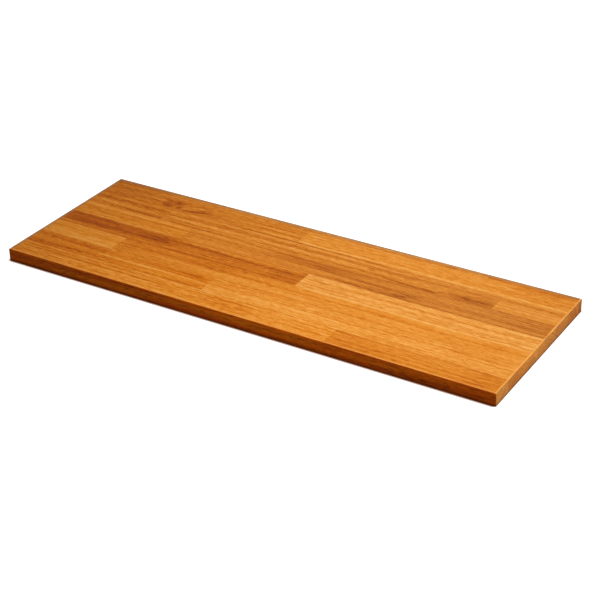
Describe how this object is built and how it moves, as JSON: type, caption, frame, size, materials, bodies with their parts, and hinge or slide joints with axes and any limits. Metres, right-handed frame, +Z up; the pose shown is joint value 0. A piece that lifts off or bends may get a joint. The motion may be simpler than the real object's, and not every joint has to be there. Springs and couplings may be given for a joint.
{
  "type": "butcher block countertop",
  "caption": "Thick rectangular worktop glued up from long solid-wood staves with staggered butt joints, flat on both faces, with softly eased edges.",
  "frame": {"origin": "centre of the flat underside, on the surface that the board rests on", "axes": "+X along the staves, to the right end seen from the front; +Y from the front edge to the back edge; +Z up, out of the working face"},
  "size_m": [1.8288, 0.635, 0.0444],
  "materials": {
    "pale_stave": "satin",
    "golden_stave": "satin",
    "amber_stave": "satin",
    "russet_stave": "satin"
  },
  "bodies": {
    "root": {"back_strip_1": "golden_stave", "back_strip_2": "golden_stave", "back_strip_3": "amber_stave", "row_1_stave_1": "golden_stave", "row_1_stave_2": "amber_stave", "row_2_stave_1": "russet_stave", "row_2_stave_2": "golden_stave", "row_3_stave_1": "pale_stave", "row_3_stave_2": "amber_stave", "row_4_stave_1": "russet_stave", "row_4_stave_2": "pale_stave", "row_5_stave_1": "golden_stave", "row_5_stave_2": "amber_stave", "row_6_stave_1": "golden_stave", "row_6_stave_2": "amber_stave", "row_6_stave_3": "pale_stave", "row_7_stave_1": "amber_stave", "row_7_stave_2": "golden_stave"}
  },
  "joints": []
}
